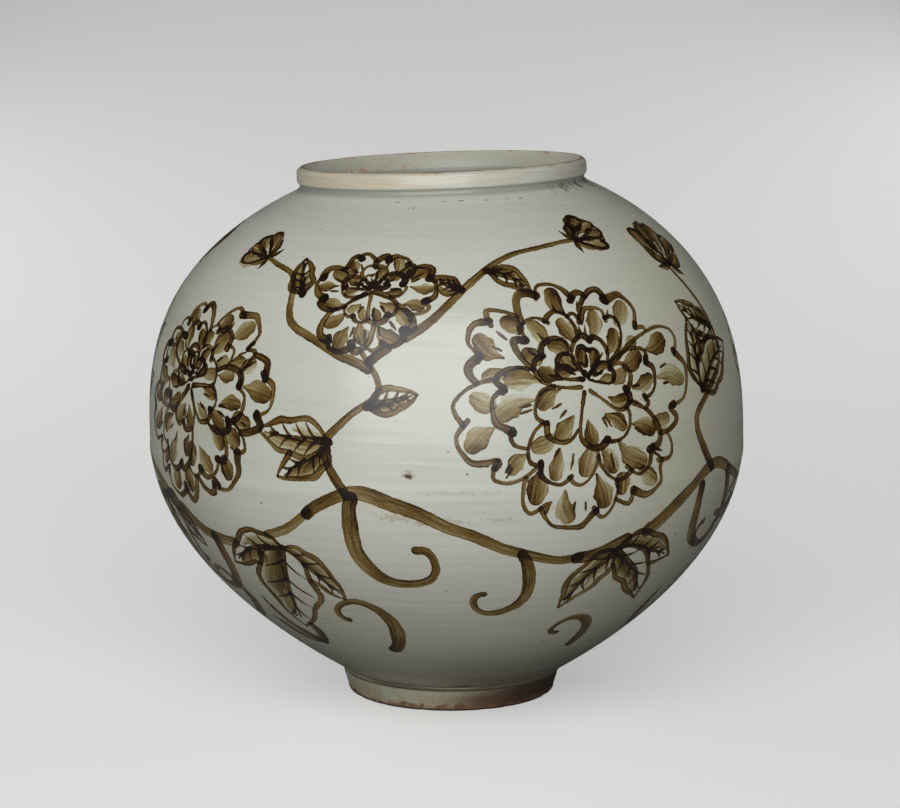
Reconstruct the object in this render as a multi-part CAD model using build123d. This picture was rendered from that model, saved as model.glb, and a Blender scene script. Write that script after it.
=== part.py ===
from build123d import *
import os
from math import atan, cos, sin, sqrt

# A round porcelain storage jar, put together as a potter does it: two thrown bowls luted rim to
# rim, a foot ring luted under them and a mouth collar luted on top. Sizes are in millimetres.
# The origin is on the floor under the centre of the belly, +Z is up, and the front faces -Y.

# Body
belly_radius = 175.0        # widest radius, outside
belly_height = 154.0        # height of the widest circle
seam_drop = 7.5             # rims of the two bowls meet this far below it
base_height = 14.4          # underside of the lower bowl
base_radius = 64.4          # outside radius there
shoulder_height = 299.8     # top face of the upper bowl, on the axis
body_wall = 8.0             # wall of both bowls, square to the surface
floor_thickness = 10.0      # bottom of the lower bowl
floor_round = 40.0          # hollow curve from the floor into the wall

# The body's outline is radius = belly * (1 - t ** power) ** root, where t runs from 0 at the belly
# to 1 where the curve would close. Each pair holds power and root.
shoulder_curve_shares = (2.6, 0.56)
lower_curve_shares = (1.98, 0.88)
steps_per_side = 8          # circles lofted from the belly to either end

# Sag of the soft clay: the lower bowl leans from the belly's axis, and the mouth leans and tips
base_lean = 4.2             # lower bowl's centre to the right of the belly's, at floor level
foot_offset = 2.5           # foot ring's centre, to the right
mouth_offset = -2.8         # mouth's centre, to the left
mouth_rise = 6.0            # right edge of the lip above its left edge
lean_growth_share = 1.5     # powers by which lean and tip grow away from the belly
tip_growth_share = 2.0

# Foot ring
foot_ledge = 0.2            # foot's top edge stands this far outside the bowl's base
foot_flare = 3.0            # foot is this much narrower at the floor, on the radius
foot_wall = 10.6            # wall at the floor
foot_edge_bevel = 1.0       # worn outer edge
foot_bore_bevel = 2.5       # trimmed inner edge
foot_slip = 1.5             # luting slip between foot ring and bowl
foot_slip_set_back = 0.8    # slip stays this far inside the foot's top edge
foot_slip_smear = 4.0       # slip smeared into the inside corner, each way

# Mouth collar
lip_radius = 84.4           # outside of the rolled band
collar_wall = 8.4           # from the band's outside to the bore
lip_bevel_width = 2.1
lip_bevel_height = 1.7
lip_land = 1.0              # narrow flat on top of the lip
band_height = 7.6
band_bulge = 0.4            # swell of the band past its edges
waist_depth = 1.4           # waist under the band
waist_height = 1.9
waist_flare_height = 0.8    # from the waist out to the band
shoulder_ledge = 0.6        # upper bowl's top edge stands this far outside the band
bore_hollow = 1.4           # hollow of the collar's inside wall
collar_slip = 1.5           # luting slip between collar and upper bowl
collar_slip_set_back = 0.4  # slip stays this far inside the waist
collar_slip_ridge = 1.2     # ridge of slip that stands into the mouth

# Belly seam, closed from inside with a coil of slip
seam_groove_depth = 3.0
seam_groove_half_height = 3.5
seam_ridge = 2.2            # the coil stands this far into the jar

overrun = 5.0               # cutters pass the faces that they cut by this


def curve_reach(rise, end_radius, curve_shares):
    """Distance from the belly at which an outline would close, if it passes the end circle."""
    power, root = curve_shares
    return rise / (1 - (end_radius / belly_radius) ** (1 / root)) ** (1 / power)


foot_top_radius = base_radius + foot_ledge
foot_radius = foot_top_radius - foot_flare
foot_bore_radius = foot_radius - foot_wall
waist_radius = lip_radius - waist_depth
collar_bore_radius = lip_radius - collar_wall
shoulder_radius = lip_radius + shoulder_ledge
seam_height = belly_height - seam_drop
shoulder_reach = curve_reach(shoulder_height - belly_height, shoulder_radius, shoulder_curve_shares)
lower_reach = curve_reach(belly_height - base_height, base_radius, lower_curve_shares)
mouth_tilt = atan(mouth_rise / (2 * lip_radius))
foot_plane = Plane(origin=(foot_offset, 0, 0))


def outline(height):
    """Outside radius at a height, and how much it grows per millimetre of rise."""
    rise = height - belly_height
    reach, (power, root) = (lower_reach, lower_curve_shares)
    if rise > 0:
        reach, (power, root) = (shoulder_reach, shoulder_curve_shares)
    part = abs(rise) / reach
    radius = belly_radius * (1 - part ** power) ** root
    steepness = belly_radius * root * (1 - part ** power) ** (root - 1)
    steepness *= power * part ** (power - 1) / reach
    return radius, (-steepness if rise > 0 else steepness)


def level_plane(height):
    """Plane of the jar's cross-section at a height, moved and tipped as the clay sagged."""
    if height < belly_height:
        offset = base_lean * (1 - height / belly_height) ** lean_growth_share
        tilt = 0
    else:
        share = (height - belly_height) / (shoulder_height - belly_height)
        offset = mouth_offset * share
        tilt = mouth_tilt * share ** tip_growth_share
    return Plane(
        origin=(offset, 0, height),
        x_dir=(cos(tilt), 0, sin(tilt)),
        z_dir=(-sin(tilt), 0, cos(tilt)),
    )


def level_circle(height, depth):
    """Circle that lies a depth below the body's surface, measured square to it."""
    radius, growth = outline(height)
    slant = sqrt(1 + growth ** 2)
    inward = level_plane(height).offset(growth * depth / slant)
    return inward * Circle(radius - depth / slant)


def level_heights(lowest, highest):
    """Heights of the circles to loft, evenly spaced each side of the belly."""
    count = steps_per_side
    below = [lowest + (belly_height - lowest) * k / count for k in range(count)]
    above = [belly_height + (highest - belly_height) * k / count for k in range(count + 1)]
    return below + above


def make_body():
    """Both bowls as one shell, before they are parted at the seam."""
    outside = loft([level_circle(h, 0) for h in level_heights(base_height, shoulder_height)])
    lowest = base_height - body_wall
    hollow = loft([level_circle(h, body_wall) for h in level_heights(lowest, shoulder_height)])
    floor_plane = level_plane(base_height).offset(floor_thickness)
    hollow = split(hollow, bisect_by=floor_plane, keep=Keep.TOP)
    floor_edge = hollow.edges().sort_by(Axis.Z)[0]
    hollow = fillet(floor_edge, floor_round)
    mouth = level_plane(shoulder_height).offset(-body_wall - overrun)
    bore = extrude(mouth * Circle(collar_bore_radius), body_wall + 2 * overrun)
    return outside - hollow - bore


def ring(plane, outline_wire):
    """Solid of revolution about a plane's normal, from an outline drawn as radius and height."""
    side = Plane(origin=plane.origin, x_dir=plane.x_dir, z_dir=-plane.y_dir)
    return revolve(side * make_face(outline_wire), Axis(plane.origin, plane.z_dir), 360)


def make_foot_ring():
    """Flared foot, with its slip bed on top and a worn edge on the floor."""
    top = base_height - foot_slip
    flare = (foot_top_radius - foot_radius) / top
    outline_wire = Polyline(
        (foot_bore_radius + foot_bore_bevel, 0),
        (foot_radius - foot_edge_bevel, 0),
        (foot_radius + flare * foot_edge_bevel, foot_edge_bevel),
        (foot_top_radius, top),
        (foot_bore_radius, top),
        (foot_bore_radius, foot_bore_bevel),
        close=True,
    )
    return ring(foot_plane, outline_wire)


def make_foot_slip():
    """Bed of slip between foot ring and bowl, smeared into the corner inside the foot."""
    bed = base_height - foot_slip
    outer = foot_top_radius - foot_slip_set_back
    outline_wire = Polyline(
        (foot_bore_radius, bed - foot_slip_smear),
        (foot_bore_radius, bed),
        (outer, bed),
        (outer, base_height),
        (foot_bore_radius - foot_slip_smear, base_height),
        close=True,
    )
    return ring(foot_plane, outline_wire)


def make_collar_slip():
    """Bed of slip under the collar, with the ridge that squeezed out into the mouth."""
    outer = waist_radius - collar_slip_set_back
    outline_wire = Polyline(
        (collar_bore_radius, 0),
        (outer, 0),
        (outer, collar_slip),
        (collar_bore_radius, collar_slip),
        (collar_bore_radius - collar_slip_ridge, collar_slip / 2),
        close=True,
    )
    return ring(level_plane(shoulder_height), outline_wire)


def make_mouth_collar():
    """Short collar: a waist, a swelling band, a bevelled lip and a hollow inside wall."""
    band_foot = waist_height + waist_flare_height
    band_top = band_foot + band_height
    lip_top = band_top + lip_bevel_height
    lip_outer = lip_radius - lip_bevel_width
    lip_inner = lip_outer - lip_land
    slope_middle = (lip_inner + collar_bore_radius) / 2
    outline_wire = (
        Polyline((collar_bore_radius, 0), (waist_radius, 0), (waist_radius, waist_height),
                 (lip_radius, band_foot))
        + ThreePointArc((lip_radius, band_foot),
                        (lip_radius + band_bulge, (band_foot + band_top) / 2),
                        (lip_radius, band_top))
        + Polyline((lip_radius, band_top), (lip_outer, lip_top), (lip_inner, lip_top))
        + ThreePointArc((lip_inner, lip_top),
                        (slope_middle - bore_hollow, lip_top / 2),
                        (collar_bore_radius, 0))
    )
    return ring(level_plane(shoulder_height).offset(collar_slip), outline_wire)


def seam_ring(half_height, ridge):
    """Ring in the groove between the two rims: a point in the wall and a ridge to the inside."""
    inside = outline(seam_height)[0] - body_wall
    slope = seam_groove_half_height / seam_groove_depth
    start = inside + seam_groove_depth - half_height / slope
    outline_wire = Polyline(
        (start, -half_height),
        (inside + seam_groove_depth, 0),
        (start, half_height),
        (start - ridge, 0),
        close=True,
    )
    return ring(level_plane(seam_height), outline_wire)


def make_jar():
    """Every piece of the jar by name."""
    seam_plane = level_plane(seam_height)
    body = make_body() - seam_ring(seam_groove_half_height + overrun, overrun)
    return {
        "foot_ring": make_foot_ring(),
        "foot_slip_ring": make_foot_slip(),
        "lower_bowl": split(body, bisect_by=seam_plane, keep=Keep.BOTTOM),
        "belly_slip_ring": seam_ring(seam_groove_half_height, seam_ridge),
        "upper_bowl": split(body, bisect_by=seam_plane, keep=Keep.TOP),
        "collar_slip_ring": make_collar_slip(),
        "mouth_collar": make_mouth_collar(),
    }


os.makedirs("parts", exist_ok=True)
for name, piece in make_jar().items():
    export_step(piece, f"parts/{name}.step")
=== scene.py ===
# Looks of a round porcelain storage jar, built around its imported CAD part.
# Lengths are in millimetres until a mesh is made, which is in metres. +Z is up, the front faces -Y.
from math import atan, cos, pi, radians, sin

import bpy
import numpy as np
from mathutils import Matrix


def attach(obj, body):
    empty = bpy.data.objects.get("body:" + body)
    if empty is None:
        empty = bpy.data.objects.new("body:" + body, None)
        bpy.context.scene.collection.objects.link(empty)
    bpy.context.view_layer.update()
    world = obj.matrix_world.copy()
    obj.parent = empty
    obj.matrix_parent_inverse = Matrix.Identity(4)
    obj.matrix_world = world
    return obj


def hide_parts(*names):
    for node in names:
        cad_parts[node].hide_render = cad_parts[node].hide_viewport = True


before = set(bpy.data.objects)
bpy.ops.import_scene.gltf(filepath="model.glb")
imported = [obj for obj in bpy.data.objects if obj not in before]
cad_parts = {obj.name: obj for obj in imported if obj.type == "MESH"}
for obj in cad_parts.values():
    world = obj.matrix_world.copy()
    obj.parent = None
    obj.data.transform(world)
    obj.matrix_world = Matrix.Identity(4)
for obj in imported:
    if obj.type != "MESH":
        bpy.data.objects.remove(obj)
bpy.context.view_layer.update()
print("frame loaded:", ", ".join(sorted(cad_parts)))

mm = 0.001


# Helpers

def linearColour(code):
    # sRGB hex such as "#c8a070" to linear RGBA
    parts = [int(code[i:i + 2], 16) / 255 for i in (1, 3, 5)]
    return [p / 12.92 if p <= 0.04045 else ((p + 0.055) / 1.055) ** 2.4 for p in parts] + [1.0]


def addNode(tree, kind, inputs=None, **settings):
    # Adds a shader node. An input given as a socket, or as a node for its first output, is linked.
    # Any other one is set.
    node = tree.nodes.new("ShaderNode" + kind)
    for name, value in settings.items():
        setattr(node, name, value)
    for key, value in (inputs or {}).items():
        if isinstance(value, bpy.types.Node):
            value = value.outputs[0]
        if isinstance(value, bpy.types.NodeSocket):
            tree.links.new(value, node.inputs[key])
        else:
            node.inputs[key].default_value = value
    return node


def emptyTree(holder):
    holder.use_nodes = True
    holder.node_tree.nodes.clear()
    return holder.node_tree


def wave(turn, counts, seed):
    # Smooth closed curve round the jar: a sum of sines with whole numbers of waves and seeded phases
    phases = np.random.default_rng(seed).uniform(0, 2 * pi, len(counts))
    return sum(np.sin(count * turn + phase) for count, phase in zip(counts, phases)) / len(counts)


def lengthAlong(line):
    # Length from the start of a flat line to each of its points
    return np.concatenate([[0], np.cumsum(np.hypot(*np.diff(line, axis=0).T))])


def turns(columns):
    return np.arange(columns) * 2 * pi / columns


def makeMesh(name, points, faces, material):
    # points in millimetres, faces as rows of vertex numbers with -1 as filler in triangles
    mesh = bpy.data.meshes.new(name)
    mesh.vertices.add(len(points))
    mesh.vertices.foreach_set("co", (points * mm).astype(np.float32).ravel())
    loops = faces[faces >= 0]
    mesh.loops.add(len(loops))
    mesh.loops.foreach_set("vertex_index", loops.astype(np.int32))
    corners = (faces >= 0).sum(1)
    mesh.polygons.add(len(faces))
    mesh.polygons.foreach_set("loop_start", (np.cumsum(corners) - corners).astype(np.int32))
    mesh.polygons.foreach_set("use_smooth", np.ones(len(faces), bool))
    mesh.update(calc_edges=True)
    mesh.validate()
    mesh.set_sharp_from_angle(angle=radians(50))
    mesh.materials.append(material)
    thing = bpy.data.objects.new(name, mesh)
    bpy.context.scene.collection.objects.link(thing)
    return thing


def makePiece(name, nodeName, material, points, faces):
    piece = makeMesh(name, points.reshape(-1, 3), faces, material)
    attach(piece, "root")
    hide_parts(nodeName)
    return piece


def latheFaces(rows, columns, closed=True):
    # Quads of a grid whose rows are circles; a closed profile joins the last row to the first
    i, j = np.indices((rows if closed else rows - 1, columns))
    nextI, nextJ = (i + 1) % rows, (j + 1) % columns
    corners = (i * columns + j, i * columns + nextJ, nextI * columns + nextJ, nextI * columns + j)
    return np.stack(corners, -1).reshape(-1, 4)


def poleFaces(row, columns, pole, upwards):
    # Fan of triangles from the circle in a row to its pole
    j = np.arange(columns)
    ring = [row * columns + j, row * columns + (j + 1) % columns]
    return np.stack(ring[::1 if upwards else -1] + [0 * j + pole, 0 * j - 1], -1)


# Form of the body, the same formula as the CAD source's

form = dict(
    bellyRadius=175.0, bellyHeight=154.0, seamHeight=146.5,
    baseRadius=64.4, baseHeight=14.4, lowerCurve=(1.98, 0.88),
    shoulderRadius=85.0, shoulderHeight=299.8, shoulderCurve=(2.6, 0.56),
    wall=8.0, floorThickness=10.0, floorCorner=14.0, lipRadius=84.4, boreRadius=76.0,
    baseLean=4.2, leanPower=1.5, footOffset=2.5, mouthOffset=-2.8, mouthRise=6.0, tipPower=2.0,
)
mouthTilt = atan(form["mouthRise"] / (2 * form["lipRadius"]))
footCentre = form["footOffset"] - form["baseLean"]
around = 2 * pi * form["bellyRadius"]


def outlineRadius(z):
    # radius = belly * (1 - t ** power) ** root, t being the share of the reach above or below the belly.
    # The reach is the height from the belly at which the outline would close.
    radius = form["bellyRadius"]
    for end in ("shoulder", "base"):
        power, root = form["shoulderCurve" if end == "shoulder" else "lowerCurve"]
        shrink = form[end + "Radius"] / form["bellyRadius"]
        reach = (form[end + "Height"] - form["bellyHeight"]) / (1 - shrink ** (1 / root)) ** (1 / power)
        t = np.clip((z - form["bellyHeight"]) / reach, 0, 1)
        radius = radius * (1 - t ** power) ** root
    return radius


def placeOnSection(turn, radius, level, rise=0.0):
    # A point at a turn from the front and a radius, on the plane of the jar's section at a level, plus
    # a rise square to that plane. The planes lean and tip as the clay sagged.
    belly = form["bellyHeight"]
    below = np.clip(1 - level / belly, 0, None)
    above = np.clip((level - belly) / (form["shoulderHeight"] - belly), 0, None)
    offset = form["baseLean"] * below ** form["leanPower"] + form["mouthOffset"] * above
    tilt = mouthTilt * above ** form["tipPower"]
    across = radius * np.sin(turn)
    x = offset + across * np.cos(tilt) - rise * np.sin(tilt)
    z = level + across * np.sin(tilt) + rise * np.cos(tilt)
    return np.stack([x, 0 * x - radius * np.cos(turn), z], -1)


# Tables up the outside of the body: arc length from the belly, and the outline's normal
arcLevel = np.linspace(form["baseHeight"], form["shoulderHeight"], 1600)
arcRadius = outlineRadius(arcLevel)
arcLength = lengthAlong(np.stack([arcRadius, arcLevel], -1))
arcLength -= np.interp(form["bellyHeight"], arcLevel, arcLength)
arcSlope = np.gradient(arcRadius, arcLevel)
arcOut = 1 / np.sqrt(1 + arcSlope ** 2)
arcUp = -arcSlope * arcOut


# Brush strokes

paintLook = dict(flower=0.62, leaf=0.6, stem=0.58, vine=0.5, tendril=0.55, blade=0.58, bladeWidth=3.6,
                 layerGap=1.9, reach=5.0)
# what a vertex far from any stroke stores: u, a, half width, key, key squared, ink, side and distance
noStroke = np.array([0, 0, -6, 0, 0, 0, 0, paintLook["reach"]])

strokes = []      # each: place as turn and v, halfWidth and ink along it, side and key
covers = []       # unrolled outlines that hide what is painted behind them, with their boxes
hand = np.random.default_rng(31)


def smoothPath(points, step=1.2):
    # Catmull-Rom curve through the points, at even steps
    p = np.array(points, float)
    ends = np.vstack([2 * p[:1] - p[1:2], p, 2 * p[-1:] - p[-2:-1]])
    t = np.linspace(0, 1, 14, endpoint=False)[:, None, None]
    a, b, c, d = ends[:-3], ends[1:-2], ends[2:-1], ends[3:]
    square, cube = 2 * a - 5 * b + 4 * c - d, 3 * b - a - 3 * c + d
    bend = 0.5 * (2 * b + (c - a) * t + square * t ** 2 + cube * t ** 3)
    line = np.vstack([bend.transpose(1, 0, 2).reshape(-1, 2), p[-1:]])
    length = lengthAlong(line)
    even = np.linspace(0, length[-1], max(int(length[-1] / step), 3) + 1)
    return np.stack([np.interp(even, length, line[:, k]) for k in (0, 1)], -1)


def polar(reach, angle):
    return np.stack([reach * np.cos(angle), reach * np.sin(angle)], -1)


def bow(length, middle, bend, back):
    # Three points of a bent line along +x
    return [(0, 0), (length * middle, bend * length), (length, bend * length * back)]


def onJar(points, turn, v, angle=0.0):
    # Motif points in millimetres, turned and placed, as turn from the front and arc length from the belly
    x, y = np.asarray(points, float).T
    up = v + x * sin(angle) + y * cos(angle)
    return np.stack([turn + (x * cos(angle) - y * sin(angle)) / np.interp(up, arcLength, arcRadius), up], -1)


def flat(place):
    # Unrolled millimetres, for overlaps
    return place * np.array([form["bellyRadius"], 1])


def boxOf(points):
    low, high = points.min(0), points.max(0)
    return (low + high) / 2, (high - low) / 2


def addCover(place):
    covers.append((flat(place), *boxOf(flat(place))))


def hiddenPart(place):
    # Which points of a stroke lie behind something painted before it: an even-odd test against each
    # outline whose box the stroke's box meets, once the stroke is brought round to the outline's side
    points = flat(place)
    hidden = np.zeros(len(points), bool)
    middle, half = boxOf(points)
    for outline, coverMiddle, coverHalf in covers:
        far = middle - coverMiddle
        shift = around * round(far[0] / around)
        if abs(far[0] - shift) < half[0] + coverHalf[0] and abs(far[1]) < half[1] + coverHalf[1]:
            x, y = points[:, :1] - shift, points[:, 1:]
            a, b = outline.T, np.roll(outline, -1, 0).T
            crosses = (a[1] > y) != (b[1] > y)
            at = a[0] + (y - a[1]) * (b[0] - a[0]) / np.where(b[1] == a[1], 1, b[1] - a[1])
            hidden |= (crosses & (x < at)).sum(1) % 2 == 1
    return hidden


def spread(values, count):
    # Values at even places along a stroke, eased between
    at = np.linspace(0, len(values) - 1, count)
    k = np.clip(at.astype(int), 0, len(values) - 2)
    part = at - k
    part = part * part * (3 - 2 * part)
    values = np.asarray(values, float)
    return values[k] * (1 - part) + values[k + 1] * part


def brush(place, halfWidths, ink, start=0.5, end=0.15, side=0.0, wobble=0.35, shortest=4.0):
    # One stroke of the brush. It starts in a pool of pigment, runs paler and ends in a smaller pool.
    count = len(place)
    if count < 3:
        return
    uneven = np.interp(np.arange(count), np.linspace(0, count, 9), hand.uniform(-1, 1, 9))
    width = spread(halfWidths, count) * (1 + 0.10 * uneven)
    s = lengthAlong(flat(place))
    whole = s[-1]
    knots = np.linspace(0, whole, max(int(whole / 7), 2) + 2)
    place = place.copy()
    ease = np.minimum(1, np.minimum(s, whole - s) / 6) * wobble
    for axis, unit in ((0, 1 / form["bellyRadius"]), (1, 1)):
        sway = sum(np.sin(s / hand.uniform(*swing) + hand.uniform(0, 6)) for swing in ((5, 8), (11, 17)))
        place[:, axis] += sway * ease * unit * 0.8
    load = np.interp(s, knots, hand.uniform(0.85, 1.15, len(knots)))
    pools = start * np.exp(-s / 5) + end * np.exp((s - whole) / 3.5)
    density = ink * load * (1 + pools - 0.12 * s / (whole + 20))
    edges = np.flatnonzero(np.diff(np.concatenate([[1], hiddenPart(place), [1]])))
    for first, last in zip(edges[::2], edges[1::2]):
        if last - first >= 3 and s[last - 1] - s[first] >= min(shortest, 0.6 * whole):
            strokes.append(dict(place=place[first:last], halfWidth=width[first:last], ink=density[first:last],
                                side=side, key=hand.uniform(0, 900)))


def draw(points, at, halfWidths, ink, **style):
    # A stroke through points in millimetres, at a turn, an arc length and an angle
    brush(onJar(smoothPath(points), *at), halfWidths, ink, **style)


def dab(at, length, width, ink, side):
    # Wash dab: the brush is pressed down flat and pulled off to a point
    points = bow(length, 0.45, 0.8 * hand.uniform(-0.2, 0.2), 0.125)
    widths = width * np.array([0.75, 1.0, hand.uniform(0.7, 0.9), hand.uniform(0.3, 0.5), 0.12])
    draw(points, at, widths, ink, end=0.4, side=side, wobble=0.25, shortest=3.0)


def petalEdge(length, halfSpread, lobes):
    # Outline of a petal from its base at the origin along +x: a fan whose edge is notched between lobes
    t = np.linspace(-1, 1, 16 * lobes + 1)
    fan = (1 - np.abs(t) ** 3.4) ** 0.5
    phase = 0.5 * (t + 1) * lobes
    phase = phase + 0.10 * np.sin(pi * (t + 1) + hand.uniform(0, 6)) * (1 - np.abs(t)) ** 0.5
    notch = (1 - np.abs(np.sin(pi * phase))) ** 2.4
    sizes = np.interp(phase, np.arange(lobes + 1), hand.uniform(0.9, 1.08, lobes + 1))
    reach = length * (0.10 + 0.90 * fan) * (1 - 0.15 * notch * fan) * sizes
    return polar(reach, t * halfSpread), phase


def petal(at, length, halfSpread, lobes, inner, ink, lineWidth):
    # Petal behind what is already painted: its outline lobe by lobe, a wash dab in each lobe and veins
    outline, phase = petalEdge(length, halfSpread, lobes)
    for lobe in range(lobes):
        part = outline[(phase >= lobe - 0.06) & (phase <= lobe + 1.08)]
        points = np.vstack([part[:-1:3], part[-1:]])[::-1 if hand.uniform() < 0.5 else 1]
        widths = lineWidth * np.array([1.25, 1.0, 0.7, 0.55, 0.8]) * hand.uniform(0.85, 1.2)
        draw(points, at, widths, ink * hand.uniform(0.75, 1.25), start=0.6)
    for lobe in range(lobes):
        middle = (lobe + 0.5) / lobes * 2 - 1
        crown = np.interp(middle, np.linspace(-1, 1, len(outline)), np.hypot(*outline.T))
        size = min(crown * (1 - inner) * 0.75, 21) * hand.uniform(0.8, 1.1)
        if size < 5:
            continue
        a = middle * halfSpread * 0.84
        start = onJar([polar(crown * 0.93 - 1.6, a)], *at)[0]
        dab((*start, at[2] + a + pi + hand.uniform(-0.35, 0.35)), size,
            min(size * hand.uniform(0.30, 0.42), 6.0) + 0.6, ink * hand.uniform(0.34, 0.78),
            hand.choice([-0.75, 0.75]) * hand.uniform(0.5, 1))
    for k in range(2):
        a = hand.uniform(-0.6, 0.6) * halfSpread
        far = inner + (0.9 - inner) * hand.uniform(0.45, 0.7)
        vein = [polar(length * (inner + 0.04), a), polar(length * far, a * 1.08)]
        draw(vein, at, [0.6, 0.85, 0.3], ink * 0.85, start=0.3, wobble=0.2)
    addCover(onJar(outline, *at))


def blossom(at, size, rings):
    # Open peony: a tight heart, then rings of lobed petals, each ring behind the one before.
    # A ring is its reach as a share of the size, petals, lobes, half spread, bare share and shift up.
    ink = paintLook["flower"]
    for k in range(9):
        spot = onJar([hand.normal(0, size * 0.035, 2) + (0, size * 0.16)], *at)[0]
        dot = onJar(smoothPath([(-0.5, 0), (0, 0.1), (0.5, 0)], 0.3), *spot)
        brush(dot, [hand.uniform(0.8, 1.3)] * 2, ink * 1.3, start=0, end=0, wobble=0, shortest=0)
    heart = onJar([(0, size * 0.12)], *at)[0]
    for k in (-1, 1, 0):
        angle = at[2] + pi / 2 + k * 1.25 + hand.uniform(-0.15, 0.15)
        petal((*heart, angle), size * 0.25, 0.62, 2, 0.35, ink * 1.15, 1.2)
    for share, count, lobes, half, inner, shift in rings:
        offset = hand.uniform(0, 2 * pi)
        centre = onJar([(0, size * shift)], *at)[0]
        for k in hand.permutation(count):
            a = offset + 2 * pi * (k + hand.uniform(-0.12, 0.12)) / count
            reach = size * share * hand.uniform(0.9, 1.08) * (0.96 - 0.10 * sin(a - at[2]))
            petal((*centre, a), reach, half * hand.uniform(0.95, 1.15), lobes, inner, ink, 1.2 + 0.6 * share)


def leaf(at, length, width, bend, ink):
    # Outlined leaf with a midrib, side veins and a wash over each half
    axis = smoothPath(bow(length, 0.5, bend, 0.4), 1.0)
    count = len(axis)
    t = np.linspace(0, 1, count)
    tangent = np.gradient(axis, axis=0)
    tangent /= np.linalg.norm(tangent, axis=1)[:, None]
    normal = np.stack([-tangent[:, 1], tangent[:, 0]], -1)
    half = width * np.sin(pi * t ** 0.72) ** 0.8 * (1 + 0.10 * np.sin(t * 15 + hand.uniform(0, 6)))
    aside = normal * half[:, None]
    for edge, widths in ((axis + aside, [0.8, 2.1, 1.6, 1.0]), (axis - aside, [1.1, 1.6, 2.0, 0.7])):
        draw(np.vstack([edge[:-1:6], edge[-1:]]), at, widths, ink * hand.uniform(0.85, 1.15), start=0.4)
    draw(axis[:int(count * 0.93):6], at, [2.2, 1.5, 0.5], ink * 1.15, start=0.7)
    for k in range(4):
        from_ = 0.15 + 0.19 * k + hand.uniform(-0.03, 0.03)
        i, j = int(from_ * count), min(int((from_ + 0.14) * count), count - 1)
        for way in (1, -1):
            middle = axis[i] * 0.45 + axis[j] * 0.55 + way * normal[i] * half[j] * 0.35
            vein = [axis[i], middle, axis[j] + way * aside[j] * 0.8]
            draw(vein, at, [1.0, 0.8, 0.3], ink * 0.9, start=0.3, wobble=0.2)
    for way, amount, reach in ((1, 0.62, 0.9), (-1, 0.34, 0.6)):
        way *= hand.choice([-1, 1])
        wash = (axis + way * aside * 0.5)[int(count * 0.08):int(count * reach):6]
        draw(wash, at, width * np.array([0.22, 0.44, 0.42, 0.12]), ink * amount * hand.uniform(0.7, 1.1),
             start=0.4, side=-0.8 * way, wobble=0.3)
    addCover(onJar(np.vstack([axis + aside, (axis - aside)[::-1]]), *at))


def leafSpray(at, length, count):
    # Leaves from one point, the middle one longest
    turn, v, angle = at
    for part, size, bend in ((0.0, 1.0, 0.06), (0.85, 0.74, 0.12), (-0.85, 0.74, -0.12))[:count]:
        long = length * size * hand.uniform(0.85, 1.12)
        leaf((turn, v, angle + part + hand.uniform(-0.2, 0.2)), long, long * hand.uniform(0.20, 0.27),
             bend + hand.uniform(-0.08, 0.08), paintLook["leaf"] * hand.uniform(0.85, 1.1))


def blade(at, length, bend):
    # Grass blade in one bold stroke: pressed in, swelling, lifted to a point
    widths = paintLook["bladeWidth"] * np.array([0.7, 0.95, 1.0, 0.7, 0.2]) * hand.uniform(0.85, 1.1)
    draw(bow(length, 0.5, bend, 0.1), at, widths, paintLook["blade"] * hand.uniform(0.8, 1.15),
         start=0.9, end=0.5, side=hand.choice([-0.5, 0.5]), wobble=0.5)


def bud(at, size):
    # Closed flower: three wrapped petals over four sepals, each sepal one short swelling stroke
    turn, v, angle = at
    ink = paintLook["flower"]
    for part, reach in ((0.0, 1.0), (0.5, 0.9), (-0.5, 0.9)):
        petal((turn, v, angle + part), size * reach, 0.5, 2, 0.15, ink, 1.2)
    for way in (1, -1):
        for part, length, width, bend, load in ((0.95, 0.62, 0.10, 0.16, 1.15), (1.9, 0.4, 0.07, 0.1, 1)):
            widths = [size * width * share for share in (0.35, 0.9, 1, 0.6)] + [0.25]
            draw(bow(size * length, 0.45, way * bend, 0.3), (turn, v, angle + way * part), widths,
                 ink * load * hand.uniform(0.7, 1.15), start=0.7, end=0.5, side=hand.choice([-0.6, 0.6]))


def tendril(at, size, way, halfWidth):
    # Curl that starts in a bold press and winds in to a dot
    turn, v, angle = at
    t = np.linspace(0, 1, 22)
    bearing = angle + way * (0.35 * np.sin(t * 2.4) + 1.5 * pi * t ** 1.7)
    line = np.cumsum(polar(size * (1 - 0.72 * t) / 9, bearing), 0)
    draw(line - line[0], (turn, v), halfWidth * np.array([0.9, 1.05, 0.95, 0.7, 0.5, 0.55]),
         paintLook["tendril"], start=0.9, end=0.5, side=0.3 * way, wobble=0.5)


def curve(points, halfWidths, ink, start, parts=1):
    # Strokes through listed places: turn in degrees and arc length from the belly. Where the line
    # takes several parts, the brush is loaded again at the start of each.
    line = smoothPath(flat(np.array(points) * (pi / 180, 1)), 1.6)
    line[:, 0] /= form["bellyRadius"]
    for part in range(parts):
        first, last = int(len(line) * part / parts), int(len(line) * (part + 1) / parts) + 2
        brush(line[first:last], halfWidths, ink * hand.uniform(0.9, 1.1), start=start, end=0.2, side=0.25,
              wobble=0.6)


# The painting, its places as turn and angle in degrees and arc length up from the belly

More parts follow.
